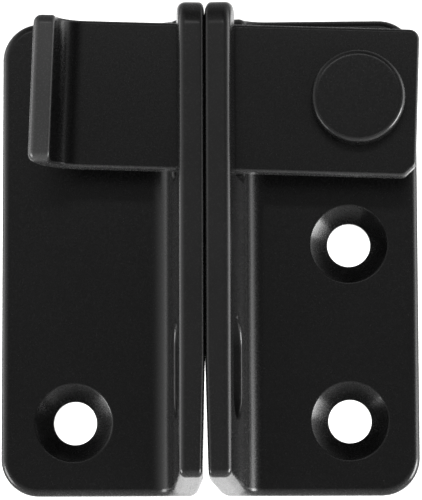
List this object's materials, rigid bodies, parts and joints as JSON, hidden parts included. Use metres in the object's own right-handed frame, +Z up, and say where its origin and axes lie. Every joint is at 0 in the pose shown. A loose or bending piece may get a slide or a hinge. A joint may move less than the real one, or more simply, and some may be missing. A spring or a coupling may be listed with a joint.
{
  "type": "toggle bolt latch",
  "caption": "Surface latch for a pair of doors: a pivoting flat bar drops into open notches in two upright bracket arms that also share a padlock slot.",
  "frame": {"origin": "midway between the two screw holes of the base bracket, on its back face", "axes": "+X across the pair, from the keeper bracket towards the base bracket; +Y into the mounting surface; +Z up, along the screw line"},
  "size_m": [0.0485, 0.0164, 0.0558],
  "materials": {
    "bracket_paint": "satin black powder coat on sheet steel",
    "bar_paint": "satin black powder coat on flat steel bar",
    "rivet_paint": "satin black coated steel rivet",
    "spacer_paint": "satin black coated steel sleeve"
  },
  "bodies": {
    "base": {"base_bracket": "bracket_paint", "pivot_rivet": "rivet_paint", "spacer": "spacer_paint"},
    "toggle": {"toggle_bar": "bar_paint"},
    "keeper": {"keeper_bracket": "bracket_paint"}
  },
  "joints": [
    {"name": "bar_pivot", "type": "hinge", "parent": "base", "child": "toggle", "pos_m": [0.00105, 0, 0.02595], "axis": [0, 1, 0], "range_deg": [0, 270]},
    {"name": "leaf_slide", "type": "slide", "parent": "base", "child": "keeper", "axis": [-1, 0, 0], "range_m": [0, 0.012]}
  ]
}
